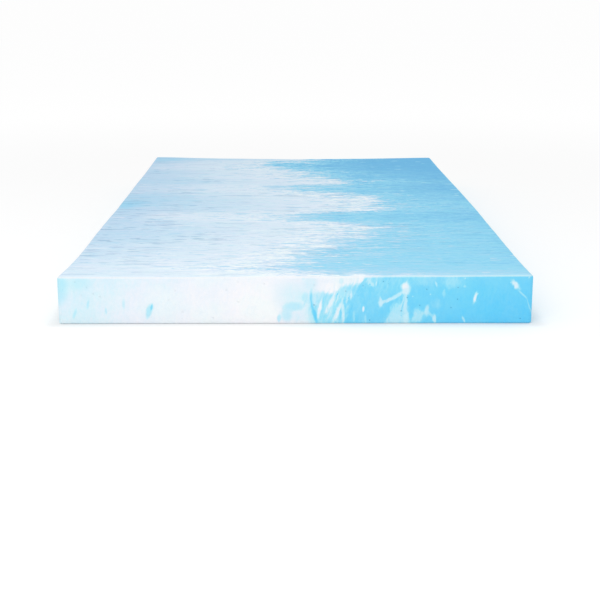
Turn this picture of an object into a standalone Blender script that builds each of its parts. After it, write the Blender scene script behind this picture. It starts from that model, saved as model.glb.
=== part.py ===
"""Mattress topper: one slab of marbled gel foam, 39 x 75 x 4 inches, lying flat.

A maker pours blue gel foam and white foam into one block, slices it level and cuts the slab to size
with a long blade. So the topper is a single solid: a flat underside, four upright cut sides, and soft
rounded edges. It isn't a true box. The blade wanders a few millimetres on the long sides, and the top
lies a little high or low, because the foam was rolled up and has opened out again.

Units are metres, +Z is up. The origin is the middle of the underside, on the surface that the topper
lies on. +X runs across the width, from the white side to the blue side, and +Y runs along the length,
away from the near end.
"""

from typing import NamedTuple

import bmesh
import bpy
import numpy as np

# Driving dimensions
INCH = 0.0254
MILLIMETRE = 0.001
WIDTH = 39 * INCH
LENGTH = 75 * INCH
THICKNESS = 4 * INCH

# The cut edges, rounded because foam tears softly where two cuts meet
TOP_EDGE_RADIUS = 0.006
CORNER_RADIUS = 0.008
BOTTOM_EDGE_RADIUS = 0.003
EDGE_SEGMENTS = 3

# Grid of the faces: cells of about 50 mm follow the unevenness closely
CELLS_ACROSS = 20
CELLS_ALONG = 36
SAME_PLACE = 1e-6  # two coordinates closer than this are equal

GEL_FOAM_COLOUR = (0.42, 0.76, 0.93, 1.0)
GEL_FOAM_ROUGHNESS = 0.85


class Section(NamedTuple):
    """The slab's cross-section at one place along its length, in millimetres but for the first value."""

    along: float  # place along the length, from -1 at the near end to 1 at the far end
    left_in: float  # how far the left side is cut inside the full width
    right_in: float  # the same for the right side
    loft_left: float  # how far the top lies above the nominal thickness at the left side
    loft_mid_left: float  # the same halfway from the left side to the middle
    loft_middle: float
    loft_mid_right: float
    loft_right: float


# The left side is hollow along its length and the right side swells in the middle. The near right
# corner stands high, and the far end dips right of its middle.
SECTIONS = (
    Section(-1.00, 2.0, 3.5, 0.0, -1.0, 0.0, 2.0, 3.0),
    Section(-0.86, 8.5, 5.0, 0.5, -0.5, 0.0, 1.0, 2.0),
    Section(-0.50, 8.0, 2.5, 0.5, 0.0, -0.5, -0.5, 1.0),
    Section(-0.12, 8.5, 0.0, 0.5, 0.0, -1.0, -0.5, 0.5),
    Section(0.30, 5.0, 1.5, 0.0, 0.0, -1.0, -1.0, 0.0),
    Section(0.68, 2.5, 5.0, 0.5, -1.0, -3.0, -2.0, -0.5),
    Section(1.00, 0.0, 6.0, 3.0, -2.0, -5.5, -3.0, 0.5),
)
LOFT_COLUMNS = ("loft_left", "loft_mid_left", "loft_middle", "loft_mid_right", "loft_right")


def smooth_through(stations, values, at):
    """Heights of the smooth curve through the values at the stations: a cubic between each two, with the
    slope at each station taken from its neighbours, so that the curve has no kink. Works on whole arrays."""
    slopes = np.gradient(values, stations)
    i = np.clip(np.searchsorted(stations, at) - 1, 0, len(stations) - 2)
    gap = stations[i + 1] - stations[i]
    t = np.clip((at - stations[i]) / gap, 0.0, 1.0)
    rise = t * t * (3.0 - 2.0 * t)
    leave = t * (1.0 - t) ** 2 * gap * slopes[i]
    arrive = t * t * (1.0 - t) * gap * slopes[i + 1]
    return values[i] * (1.0 - rise) + values[i + 1] * rise + leave - arrive


def column(name, along):
    """One column of the sections, in metres, read smoothly at the given places along the length."""
    stations = np.array([section.along for section in SECTIONS])
    values = np.array([getattr(section, name) for section in SECTIONS]) * MILLIMETRE
    return smooth_through(stations, values, along)


def loft(across, along):
    """How far the top lies above the nominal thickness. The five loft columns are read at each place along
    the length, and each counts by how near it is to the place across: a smooth hat, half the slab wide."""
    spacing = 2.0 / (len(LOFT_COLUMNS) - 1)
    height = np.zeros_like(across)
    for number, name in enumerate(LOFT_COLUMNS):
        distance = np.clip(np.abs(across - (number * spacing - 1.0)) / spacing, 0.0, 1.0)
        height += (1.0 - distance * distance * (3.0 - 2.0 * distance)) * column(name, along)
    return height


def true_shape(points):
    """Turns points of the plain box into points of the real slab. Across, a point keeps its share of the
    way from the left cut to the right cut. Upwards, it keeps its share of the local thickness, so that the
    underside stays flat."""
    across = points[:, 0] / (WIDTH / 2)
    along = points[:, 1] / (LENGTH / 2)
    left = -WIDTH / 2 + column("left_in", along)
    right = WIDTH / 2 - column("right_in", along)
    share = (across + 1.0) / 2
    x = left + share * (right - left)
    z = points[:, 2] * (1.0 + loft(across, along) / THICKNESS)
    return np.stack([x, points[:, 1], z], axis=1)


def cut_into_cells(mesh, axis, cells):
    """Cuts every edge that runs along the axis into equal cells."""
    running = [e for e in mesh.edges if abs((e.verts[0].co - e.verts[1].co)[axis]) > SAME_PLACE]
    bmesh.ops.subdivide_edges(mesh, edges=running, cuts=cells - 1, use_grid_fill=True)


def round_edges(mesh):
    """Gives each edge of the box its share of the largest rounding, which the Bevel modifier reads."""
    weight = mesh.edges.layers.float.new("bevel_weight_edge")
    for edge in mesh.edges:
        middle = (edge.verts[0].co + edge.verts[1].co) / 2
        on_side = abs(abs(middle.x) - WIDTH / 2) < SAME_PLACE
        on_end = abs(abs(middle.y) - LENGTH / 2) < SAME_PLACE
        on_top = abs(middle.z - THICKNESS) < SAME_PLACE
        on_bottom = abs(middle.z) < SAME_PLACE
        if on_side and on_end:
            edge[weight] = 1.0
        elif on_top and (on_side or on_end):
            edge[weight] = TOP_EDGE_RADIUS / CORNER_RADIUS
        elif on_bottom and (on_side or on_end):
            edge[weight] = BOTTOM_EDGE_RADIUS / CORNER_RADIUS


def gel_foam_material():
    """Soft matt foam in the slab's overall colour, between its white and its blue."""
    material = bpy.data.materials.new("gel_foam")
    material.use_nodes = True
    shader = material.node_tree.nodes["Principled BSDF"]
    shader.inputs["Base Color"].default_value = GEL_FOAM_COLOUR
    shader.inputs["Roughness"].default_value = GEL_FOAM_ROUGHNESS
    shader.inputs["Metallic"].default_value = 0.0
    return material


def foam_slab(collection):
    """The topper: a box cut into cells, bent to its true shape, with its twelve edges rounded."""
    mesh = bmesh.new()
    bmesh.ops.create_cube(mesh, size=1.0)
    bmesh.ops.scale(mesh, vec=(WIDTH, LENGTH, THICKNESS), verts=mesh.verts)
    bmesh.ops.translate(mesh, vec=(0.0, 0.0, THICKNESS / 2), verts=mesh.verts)
    cut_into_cells(mesh, 0, CELLS_ACROSS)
    cut_into_cells(mesh, 1, CELLS_ALONG)
    round_edges(mesh)
    data = bpy.data.meshes.new("foam_slab")
    mesh.to_mesh(data)
    mesh.free()

    points = np.empty(len(data.vertices) * 3, dtype=np.float32)
    data.vertices.foreach_get("co", points)
    shaped = true_shape(points.reshape(-1, 3).astype(float))
    data.vertices.foreach_set("co", shaped.astype(np.float32).ravel())

    slab = bpy.data.objects.new("foam_slab", data)
    collection.objects.link(slab)
    data.materials.append(gel_foam_material())
    bevel = slab.modifiers.new("rounded cut edges", "BEVEL")
    bevel.limit_method = "WEIGHT"
    bevel.offset_type = "OFFSET"
    bevel.width = CORNER_RADIUS
    bevel.segments = EDGE_SEGMENTS
    data.shade_smooth()
    return slab


def main():
    for old in list(bpy.data.objects):
        bpy.data.objects.remove(old, do_unlink=True)
    topper = bpy.data.collections.new("mattress_topper")
    bpy.context.scene.collection.children.link(topper)
    foam_slab(topper)


main()
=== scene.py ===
# %% [markdown]
# # A mattress topper of marbled gel foam
#
# The topper is one slab of foam, 39 x 75 x 4 inches. White foam and blue gel foam were poured into one
# block, so the two run into each other like milk in water. A slicer cut the block level, and a long blade
# cut the four sides. This lesson makes the slab's fine surface and its marbling, round a solid that is
# already packed. That solid says where the slab lies and how big it is.
#
# Units are metres. +X runs across the width, from the white side to the blue side. +Y runs along the
# length, away from the near end. +Z is up.

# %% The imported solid
import itertools
import math
from typing import NamedTuple

import bpy
import numpy as np
from mathutils import Euler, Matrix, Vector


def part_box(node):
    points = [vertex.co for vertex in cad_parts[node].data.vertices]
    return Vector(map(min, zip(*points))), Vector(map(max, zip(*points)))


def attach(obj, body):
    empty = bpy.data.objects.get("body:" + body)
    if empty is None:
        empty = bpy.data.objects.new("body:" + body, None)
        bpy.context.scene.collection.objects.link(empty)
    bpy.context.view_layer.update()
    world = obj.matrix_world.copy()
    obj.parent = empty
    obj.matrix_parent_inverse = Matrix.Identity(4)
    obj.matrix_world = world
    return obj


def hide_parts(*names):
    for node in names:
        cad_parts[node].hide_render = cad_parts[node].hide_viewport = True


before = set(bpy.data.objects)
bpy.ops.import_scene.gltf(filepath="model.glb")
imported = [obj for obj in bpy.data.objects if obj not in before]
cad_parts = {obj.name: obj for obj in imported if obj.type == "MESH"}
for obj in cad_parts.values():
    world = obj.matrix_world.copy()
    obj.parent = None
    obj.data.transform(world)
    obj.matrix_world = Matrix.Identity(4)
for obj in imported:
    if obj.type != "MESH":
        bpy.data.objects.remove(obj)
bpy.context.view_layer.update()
slab_low, slab_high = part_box("foam_slab")
print("packed solid, mm:", [round(1000 * side) for side in slab_high - slab_low])

# %% [markdown]
# ## The true shape
#
# A perfect box would look false. The blade wanders a few millimetres on its way along the block, and foam
# that was rolled up stays a little high at its corners and low in the middle of its far end. The solid
# holds this in a short table of cross-sections, and the same table is used here, so that the fine
# surface lies on the solid everywhere.

# %% The slab's cross-sections
INCH = 0.0254
MILLIMETRE = 0.001
WIDTH = 39 * INCH
LENGTH = 75 * INCH
THICKNESS = 4 * INCH


class Section(NamedTuple):
    """The slab's cross-section at one place along its length, in millimetres but for the first value."""

    along: float  # place along the length, from -1 at the near end to 1 at the far end
    left_in: float  # how far the left side is cut inside the full width
    right_in: float  # the same for the right side
    loft_left: float  # how far the top lies above the nominal thickness at the left side
    loft_mid_left: float  # the same halfway from the left side to the middle
    loft_middle: float
    loft_mid_right: float
    loft_right: float


SECTIONS = (
    Section(-1.00, 2.0, 3.5, 0.0, -1.0, 0.0, 2.0, 3.0),
    Section(-0.86, 8.5, 5.0, 0.5, -0.5, 0.0, 1.0, 2.0),
    Section(-0.50, 8.0, 2.5, 0.5, 0.0, -0.5, -0.5, 1.0),
    Section(-0.12, 8.5, 0.0, 0.5, 0.0, -1.0, -0.5, 0.5),
    Section(0.30, 5.0, 1.5, 0.0, 0.0, -1.0, -1.0, 0.0),
    Section(0.68, 2.5, 5.0, 0.5, -1.0, -3.0, -2.0, -0.5),
    Section(1.00, 0.0, 6.0, 3.0, -2.0, -5.5, -3.0, 0.5),
)
LOFT_COLUMNS = ("loft_left", "loft_mid_left", "loft_middle", "loft_mid_right", "loft_right")


def smoothstep(share):
    """3 s^2 - 2 s^3: a rise from 0 to 1 that starts and ends level."""
    return share * share * (3.0 - 2.0 * share)


def smooth_through(stations, values, at):
    """Heights of the smooth curve through the values at the stations: a cubic between each two, with the
    slope at each station taken from its neighbours, so that the curve has no kink."""
    slopes = np.gradient(values, stations)
    i = np.clip(np.searchsorted(stations, at) - 1, 0, len(stations) - 2)
    gap = stations[i + 1] - stations[i]
    t = np.clip((at - stations[i]) / gap, 0.0, 1.0)
    leave = t * (1.0 - t) ** 2 * gap * slopes[i]
    arrive = t * t * (1.0 - t) * gap * slopes[i + 1]
    return values[i] + (values[i + 1] - values[i]) * smoothstep(t) + leave - arrive


def column(name, along):
    """One column of the sections, in metres, read smoothly at the given places along the length."""
    stations = np.array([section.along for section in SECTIONS])
    values = np.array([getattr(section, name) for section in SECTIONS]) * MILLIMETRE
    return smooth_through(stations, values, along)


def loft(across, along):
    """How far the top lies above the nominal thickness: the sum of the five loft columns, each weighted by
    a smooth hat, half the slab wide, over its own place across."""
    spacing = 2.0 / (len(LOFT_COLUMNS) - 1)
    height = np.zeros_like(across)
    for number, name in enumerate(LOFT_COLUMNS):
        distance = np.clip(np.abs(across - (number * spacing - 1.0)) / spacing, 0.0, 1.0)
        height += (1.0 - smoothstep(distance)) * column(name, along)
    return height


def true_shape(points):
    """Bends points of the plain box to the real slab. A point keeps its share of the way from the left cut
    to the right cut, and its share of the local thickness, so that the underside stays flat."""
    across = np.clip(points[:, 0] / (WIDTH / 2), -1.0, 1.0)
    along = np.clip(points[:, 1] / (LENGTH / 2), -1.0, 1.0)
    left = -WIDTH / 2 + column("left_in", along)
    right = WIDTH / 2 - column("right_in", along)
    x = left + (points[:, 0] / WIDTH + 0.5) * (right - left)
    z = points[:, 2] * (1.0 + loft(across, along) / THICKNESS)
    return np.stack([x, points[:, 1], z], axis=1)


print("sections:", len(SECTIONS))

# %% [markdown]
# ## A box with rounded edges, as one formula
#
# The slab could be a cube with a Bevel modifier, but then its flat faces would be single large polygons,
# and foam isn't that flat. Here each of the six faces is a grid on the plain box. A point of the grid is
# pulled back to the nearest point of a smaller inner box, and pushed out again by the rounding, in the
# direction in which it lay. Over the flat faces that changes nothing, and near the edges it gives an arc.
# The grid lines lie closer together over the arcs.

# %% Grids on the six faces
FLAT_STEP = (0.0066, 0.0088, 0.0045)  # spacing of the grid lines across, along and upwards
ARC_STEPS = 4  # grid lines in the half of an arc that belongs to one face
SIDE_ROUNDING = 0.008  # how far inwards the rounding of an edge reaches
TOP_ROUNDING = 0.006  # how far down from the top
BOTTOM_ROUNDING = 0.003  # how far up from the underside
HALF = np.array([WIDTH, LENGTH, THICKNESS]) / 2


def grid_lines(half, low_rounding, high_rounding, step):
    """Places of the grid lines from -half to half, and how far each lies along the unrolled surface. Over
    an arc, the line for the angle a, up to 45 degrees, lies at the rounding times tan(a) past its start,
    and unrolled at the rounding times a."""
    angles = np.linspace(0.0, math.pi / 4, ARC_STEPS + 1)[1:]
    low, high = -half + low_rounding, half - high_rounding
    flat = np.linspace(low, high, 1 + round((high - low) / step))
    places = np.concatenate(
        [low - low_rounding * np.tan(angles[::-1]), flat, high + high_rounding * np.tan(angles)]
    )
    unrolled = np.concatenate([low - low_rounding * angles[::-1], flat, high + high_rounding * angles])
    return places, unrolled


LINES = (
    grid_lines(HALF[0], SIDE_ROUNDING, SIDE_ROUNDING, FLAT_STEP[0]),
    grid_lines(HALF[1], SIDE_ROUNDING, SIDE_ROUNDING, FLAT_STEP[1]),
    grid_lines(HALF[2], BOTTOM_ROUNDING, TOP_ROUNDING, FLAT_STEP[2]),
)


def face_grid(axis, side):
    """One face of the plain box as a grid: its points, its quads with their fronts outwards, and the
    unrolled place of each point on the face. The two other axes follow the normal's in turn, so that a
    quad that runs along the first and then the second faces along +axis."""
    first, second = (axis + 1) % 3, (axis + 2) % 3
    rows, columns = len(LINES[first][0]), len(LINES[second][0])
    points = np.empty((rows, columns, 3))
    points[..., axis] = side * HALF[axis]
    points[..., first] = LINES[first][0][:, None]
    points[..., second] = LINES[second][0][None, :]
    unrolled = np.stack(np.meshgrid(LINES[first][1], LINES[second][1], indexing="ij"), axis=-1)
    number = np.arange(rows * columns).reshape(rows, columns)
    quads = np.stack([number[:-1, :-1], number[1:, :-1], number[1:, 1:], number[:-1, 1:]], axis=-1)
    quads = quads.reshape(-1, 4)
    if side < 0:
        quads = quads[:, ::-1]
    return points.reshape(-1, 3), quads, unrolled.reshape(-1, 2)


def rounded(points):
    """Rounds the plain box: inner point plus rounding times direction. Also gives the direction, which is
    the surface's normal."""
    rounding = np.full_like(points, SIDE_ROUNDING)
    rounding[:, 2] = np.where(points[:, 2] > 0, TOP_ROUNDING, BOTTOM_ROUNDING)
    inner = np.clip(points, -HALF + rounding, HALF - rounding)
    direction = (points - inner) / rounding
    direction /= np.linalg.norm(direction, axis=1, keepdims=True)
    return inner + rounding * direction, direction


print("grid lines:", [len(places) for places, unrolled in LINES])

# %% [markdown]
# ## Uneven as foam is
#
# Up close the top isn't smooth either. The slicer's band trembles, so the level cut has low swells and
# ripples. The sides have long shallow waves from the blade, and the rounded edges are a little fuller here
# and slacker there. All of it comes from one kind of smooth random height. Space is cut into boxes, each
# box corner gets a random height, and the heights in between are blended.

# %% Smooth random heights
RANDOM_HEIGHTS = np.random.default_rng(7).uniform(-1.0, 1.0, 4096)
BOX_NUMBERS = (73, 619, 3331)  # primes that give neighbouring box corners unlike places in that table


def soft_noise(points, cell, start):
    """Smooth heights from -1 to 1: the eight corners of a point's box of the size cell, each weighted by
    smoothstep of how near the point is on each axis. Another start gives other heights."""
    places = points / np.array(cell)
    low = np.floor(places).astype(int)
    share = smoothstep(places - low)
    height = np.zeros(len(points))
    for corner in itertools.product((0, 1), repeat=3):
        weight = np.prod(np.where(np.array(corner) == 1, share, 1.0 - share), axis=1)
        number = (low + np.array(corner)) @ np.array(BOX_NUMBERS) + start
        height += weight * RANDOM_HEIGHTS[number % len(RANDOM_HEIGHTS)]
    return height


def relief(points, direction):
    """How far the surface stands out along its normal: swells and ripples on the top, blade waves on the
    sides, a crumbly line on the top edge, and nothing on the underside, which lies flat."""
    top = np.clip(direction[:, 2], 0.0, 1.0)
    upright = 1.0 - np.abs(direction[:, 2])
    swells = 0.9 * soft_noise(points, (0.21, 0.13, 1.0), 11)
    ripples = 0.35 * soft_noise(points, (0.075, 0.034, 1.0), 503)
    waves = 0.5 * soft_noise(points, (0.085, 0.085, 0.30), 1201)
    crumbs = 0.3 * soft_noise(points, (0.021, 0.024, 0.05), 2203)
    return MILLIMETRE * (top * (swells + ripples) + upright * waves + 4.0 * top * upright * crumbs)


print("random heights from", RANDOM_HEIGHTS.min().round(3), "to", RANDOM_HEIGHTS.max().round(3))

# %% [markdown]
# ## The mesh
#
# The six grids share their border points, which are merged by rounding their places to a tenth of a
# micrometre. Two numbers are stored on each point for the material: how level the cut is there, and how
# close it is to the middle of the rounded top edge. A UV map unrolls the six faces side by side. The
# marbling doesn't use it, but a baked picture of the finish does, so the top gets half of the map.

# %% The unrolled map


class Island(NamedTuple):
    """Where one face lies on the map."""

    axis: int  # the axis of the face's normal, 0 to 2
    side: int  # 1 or -1 along that axis
    left: float  # the island's lower left corner
    low: float
    scale: float  # map units for one metre


ISLANDS = (
    Island(2, 1, 0.010, 0.010, 0.505),
    Island(0, -1, 0.528, 0.010, 0.505),
    Island(0, 1, 0.596, 0.010, 0.505),
    Island(1, -1, 0.664, 0.010, 0.480),
    Island(1, 1, 0.664, 0.510, 0.480),
    Island(2, -1, 0.728, 0.010, 0.260),
)
print("islands:", len(ISLANDS))

# %% The slab as one closed mesh
LATTICE = 1e-7  # metres: points closer than this are one


def slab_surface():
    """Points, normals and quads of the whole slab, and the map's place of each quad corner. On the map the
    longer direction of every face runs upwards."""
    points, quads, places = [], [], []
    start = 0
    for island in ISLANDS:
        face_points, face_quads, unrolled = face_grid(island.axis, island.side)
        spread = unrolled - unrolled.min(axis=0)
        if spread[:, 0].max() > spread[:, 1].max():
            spread = spread[:, ::-1]
        face_map = np.array([island.left, island.low]) + island.scale * spread
        points.append(face_points)
        quads.append(face_quads + start)
        places.append(face_map[face_quads.ravel()])
        start += len(face_points)
    points, quads, places = np.concatenate(points), np.concatenate(quads), np.concatenate(places)
    keys = np.round(points / LATTICE).astype(np.int64)
    _, kept, merged = np.unique(keys, axis=0, return_index=True, return_inverse=True)
    shape, direction = rounded(points[kept])
    return shape, direction, merged.ravel()[quads], places


def add_numbers(mesh, name, values):
    """Stores one number for each point of the mesh under the name."""
    attribute = mesh.attributes.new(name, "FLOAT", "POINT")
    attribute.data.foreach_set("value", values.astype(np.float32))


shape, direction, quads, places = slab_surface()
shape[:, 2] += THICKNESS / 2
shape = true_shape(shape)
shape += direction * relief(shape, direction)[:, None]

mesh = bpy.data.meshes.new("foam_topper")
mesh.from_pydata(shape, [], quads)
upward = direction[:, 2]
add_numbers(mesh, "level_cut", upward**2)
add_numbers(mesh, "top_edge", np.where(upward > 0, 4.0 * upward**2 * (1.0 - upward**2), 0.0))
bake_map = mesh.uv_layers.new(name="OFBake")
bake_map.data.foreach_set("uv", places.astype(np.float32).ravel())
mesh.shade_smooth()
topper = bpy.data.objects.new("foam_topper", mesh)
bpy.context.scene.collection.objects.link(topper)
print("points:", len(shape), "triangles:", 2 * len(quads))

# %% [markdown]
# ## Nodes, a few words at a time
#
# The marbling is a material made of nodes. A few small helpers keep the next cells short: they add a node
# and fill its inputs, draw a smooth rise, or run a curve through a table of points.

# %% Helpers for nodes


def fill(tree, socket, value):
    """Links a socket to the input, or sets the input's own value."""
    if isinstance(value, bpy.types.NodeSocket):
        tree.links.new(value, socket)
    elif value is not None:
        socket.default_value = value


def node(tree, kind, *given, **settings):
    """Adds a node and fills its inputs in order, with None for one that stays as it is. A setting with the
    name of an input fills that input, and any other is a setting of the node."""
    made = tree.nodes.new("ShaderNode" + kind)
    for name, value in settings.items():
        if name.replace("_", " ") not in made.inputs:
            setattr(made, name, value)
    for name, value in settings.items():
        if name.replace("_", " ") in made.inputs:
            fill(tree, made.inputs[name.replace("_", " ")], value)
    for socket, value in zip(made.inputs, given):
        fill(tree, socket, value)
    return made


def calculate(tree, operation, *values):
    """The result of a Math node."""
    return node(tree, "Math", *values, operation=operation).outputs[0]


def calculate_vector(tree, operation, *values):
    """The result of a Vector Math node."""
    return node(tree, "VectorMath", *values, operation=operation).outputs[0]


def product(tree, first, second):
    """The first number times the second."""
    return calculate(tree, "MULTIPLY", first, second)


def moved(tree, value, swing, reach):
    """The value plus the swing times the reach."""
    return calculate(tree, "MULTIPLY_ADD", swing, reach, value)


def rise(tree, value, low, high, out_low=0.0, out_high=1.0):
    """A smooth rise from out_low to out_high while the value goes from low to high."""
    made = node(tree, "MapRange", value, low, high, out_low, out_high, interpolation_type="SMOOTHSTEP")
    return made.outputs[0]


def between(tree, share, first, second):
    """The first number where share is 0, and the second where it is 1."""
    return moved(tree, first, calculate(tree, "SUBTRACT", second, first), share)


def curve_through(tree, value, points):
    """The height at the value on a smooth curve through the points. The curve node works from 0 to 1 both
    ways, so the value is brought to that range before it, and the height brought back after it."""
    places = np.array(points)
    lowest, highest = places.min(axis=0), places.max(axis=0)
    shares = (places - lowest) / (highest - lowest)
    curve = node(tree, "FloatCurve", None, node(tree, "MapRange", value, lowest[0], highest[0]).outputs[0])
    handles = curve.mapping.curves[0].points
    handles[0].location, handles[1].location = shares[0], shares[-1]
    for share in shares[1:-1]:
        handles.new(*share)
    for handle in handles:
        handle.handle_type = "AUTO_CLAMPED"
    curve.mapping.update()
    return node(tree, "MapRange", curve.outputs[0], 0.0, 1.0, lowest[1], highest[1]).outputs[0]


# %% Helpers for groups


def start_group(name, inputs, outputs):
    """A node group with the named inputs, each with its kind and value, and outputs, each with its kind.
    Returns the tree, its input sockets by name and the input sockets of its output node."""
    tree = bpy.data.node_groups.new(name, "ShaderNodeTree")
    for socket_name, (kind, value) in inputs.items():
        socket = tree.interface.new_socket(socket_name, in_out="INPUT", socket_type="NodeSocket" + kind)
        if value is not None:
            socket.default_value = value
    for socket_name, kind in outputs.items():
        tree.interface.new_socket(socket_name, in_out="OUTPUT", socket_type="NodeSocket" + kind)
    inside = tree.nodes.new("NodeGroupInput").outputs
    return tree, {name: inside[name] for name in inputs}, tree.nodes.new("NodeGroupOutput").inputs


def place(tree, group, **inputs):
    """Puts a group into a tree and fills its inputs. Returns its outputs."""
    made = tree.nodes.new("ShaderNodeGroup")
    made.node_tree = group
    for name, value in inputs.items():
        fill(tree, made.inputs[name.replace("_", " ")], value)
    return made.outputs


print("helpers ready")

# %% [markdown]
# ## Streaks
#
# Gel that is stirred into foam runs out in streaks and eddies. A noise whose cells are longer in one
# direction than in the other gives streaks. Before it reads the noise, the group bends space with a
# coarser noise, so that no streak runs straight.

# %% The streaks group
NOISE_REACH = (0.25, 0.75)  # a noise runs from 0 to 1, but mostly stays in here


def make_streaks():
    """Noise with cells of the size Cell, after space was bent by up to Bend in eddies of the size Eddy.
    Value swings about 0, mostly within -1 to 1."""
    tree, given, out = start_group(
        "streaks",
        {
            "Vector": ("Vector", None),
            "Cell": ("Vector", (0.1, 0.03, 0.1)),
            "Bend": ("Vector", (0.03, 0.01, 0.02)),
            "Eddy": ("Float", 0.2),
            "Detail": ("Float", 3.0),
            "Roughness": ("Float", 0.5),
        },
        {"Value": "Float", "Bent": "Vector"},
    )
    eddies_in_a_metre = calculate(tree, "DIVIDE", 1.0, given["Eddy"])
    eddies = node(tree, "TexNoise", given["Vector"], Scale=eddies_in_a_metre, Detail=2.0)
    centred = calculate_vector(tree, "SUBTRACT", eddies.outputs["Color"], (0.5, 0.5, 0.5))
    shift = calculate_vector(tree, "MULTIPLY", centred, given["Bend"])
    bent = calculate_vector(tree, "ADD", given["Vector"], shift)
    cells = calculate_vector(tree, "DIVIDE", bent, given["Cell"])
    noise = node(tree, "TexNoise", cells, Scale=1.0, Detail=given["Detail"], Roughness=given["Roughness"])
    swing = node(tree, "MapRange", noise.outputs[0], *NOISE_REACH, -1.0, 1.0, clamp=False)
    tree.links.new(swing.outputs[0], out["Value"])
    tree.links.new(bent, out["Bent"])
    return tree


STREAKS = make_streaks()
print("group:", STREAKS.name)

# %% [markdown]
# ## Wisps
#
# Where the gel was folded into the foam it left wisps: drops, strokes and small clouds. A wisp is an
# ellipse with a soft, ragged rim, turned by its lean. Each one pulls the amount of gel towards its own.

# %% The wisp group


def make_wisp():
    """Pulls Gel towards Target, by the share Strength, inside an ellipse about Centre. The rim is as soft
    as Softness and moves in and out with Ragged. Lean turns the ellipse clockwise about the third axis."""
    tree, given, out = start_group(
        "wisp",
        {
            "Gel": ("Float", 0.0),
            "Place": ("Vector", None),
            "Centre": ("Vector", (0.0, 0.0, 0.0)),
            "Half Size": ("Vector", (1.0, 1.0, 1.0)),
            "Lean": ("Float", 0.0),
            "Target": ("Float", 1.0),
            "Strength": ("Float", 1.0),
            "Softness": ("Float", 0.5),
            "Ragged": ("Float", 0.0),
        },
        {"Gel": "Float"},
    )
    offset = calculate_vector(tree, "SUBTRACT", given["Place"], given["Centre"])
    turned = node(tree, "VectorRotate", offset, Angle=given["Lean"], rotation_type="Z_AXIS").outputs[0]
    shares = calculate_vector(tree, "DIVIDE", turned, given["Half Size"])
    length = node(tree, "VectorMath", shares, operation="LENGTH").outputs["Value"]
    ragged = calculate(tree, "ADD", length, given["Ragged"])
    inner = calculate(tree, "SUBTRACT", 1.0, given["Softness"])
    outer = calculate(tree, "ADD", 1.0, given["Softness"])
    inside = rise(tree, ragged, inner, outer, 1.0, 0.0)
    amount = product(tree, inside, given["Strength"])
    tree.links.new(between(tree, amount, given["Gel"], given["Target"]), out["Gel"])
    return tree


WISP = make_wisp()
print("group:", WISP.name)

# %% [markdown]
# ## Flecks
#
# Small flecks are everywhere: pale ones in the blue, grey-blue ones in the white. Voronoi cells give each
# fleck a place and a random number. Only the cells whose number is high enough get one.

# %% The flecks group
FLECK_CORE = 0.65  # the part of a fleck's radius that has its full strength


def make_flecks():
    """Soft spots of up to Radius cell sizes, in cells of the size Cell, in about the share Share of them.
    The rims move in and out with Ragged."""
    tree, given, out = start_group(
        "flecks",
        {
            "Vector": ("Vector", None),
            "Cell": ("Vector", (0.05, 0.03, 0.05)),
            "Radius": ("Float", 0.3),
            "Share": ("Float", 0.3),
            "Ragged": ("Float", 0.0),
        },
        {"Mask": "Float"},
    )
    cells = calculate_vector(tree, "DIVIDE", given["Vector"], given["Cell"])
    voronoi = node(tree, "TexVoronoi", cells, Scale=1.0)
    number = node(tree, "SeparateColor", voronoi.outputs["Color"]).outputs[0]
    least = calculate(tree, "SUBTRACT", 1.0, given["Share"])
    chosen = calculate(tree, "GREATER_THAN", number, least)
    size = product(tree, given["Radius"], number)
    inner = product(tree, size, FLECK_CORE)
    distance = calculate(tree, "ADD", voronoi.outputs["Distance"], given["Ragged"])
    spot = rise(tree, distance, inner, size, 1.0, 0.0)
    tree.links.new(product(tree, chosen, spot), out["Mask"])
    return tree


FLECKS = make_flecks()
print("group:", FLECKS.name)

# %% One kind of fleck


class Fleck(NamedTuple):
    """One kind of fleck: the size of its cells in metres, the share of them that holds one, its largest
    radius in cells, and the amount of gel that it draws towards."""

    cell: tuple
    share: float
    radius: float
    gel: float = 0.0


def fleck_mask(tree, vector, fleck, ragged=0.0):
    """Where the flecks of one kind lie, from 0 to 1."""
    cell, share, radius, _ = fleck
    return place(tree, FLECKS, Vector=vector, Cell=cell, Share=share, Radius=radius, Ragged=ragged)["Mask"]


def flecked(tree, gel, vector, fleck, where, ragged=0.0):
    """The gel amount with flecks of one kind in it, as strong as where says."""
    strength = product(tree, fleck_mask(tree, vector, fleck, ragged), where)
    return between(tree, strength, gel, fleck.gel)


print("a kind of fleck is:", Fleck._fields)

# %% [markdown]
# ## Open cells
#
# Gel foam is a web of tiny open bubbles, a millimetre or so across. They are too small to be geometry, so
# they are a bump, with a touch of painted shade in the holes.

# %% The open cells group


def make_open_cells():
    """Height and Shade of foam bubbles of the size Size: the distance to the nearest bubble's middle,
    roughened by a fine noise. Shade is low in the holes, where the material paints shade."""
    tree, given, out = start_group(
        "open_cells",
        {"Vector": ("Vector", None), "Size": ("Float", 0.0015)},
        {"Height": "Float", "Shade": "Float"},
    )
    bubbles_in_a_metre = calculate(tree, "DIVIDE", 1.0, given["Size"])
    bubbles = node(tree, "TexVoronoi", given["Vector"], Scale=bubbles_in_a_metre).outputs["Distance"]
    grain = node(tree, "TexNoise", given["Vector"], Scale=bubbles_in_a_metre, Detail=2.0).outputs[0]
    height = moved(tree, bubbles, grain, 0.5)
    tree.links.new(height, out["Height"])
    tree.links.new(rise(tree, height, 0.2, 0.9), out["Shade"])
    return tree


OPEN_CELLS = make_open_cells()
print("group:", OPEN_CELLS.name)
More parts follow.
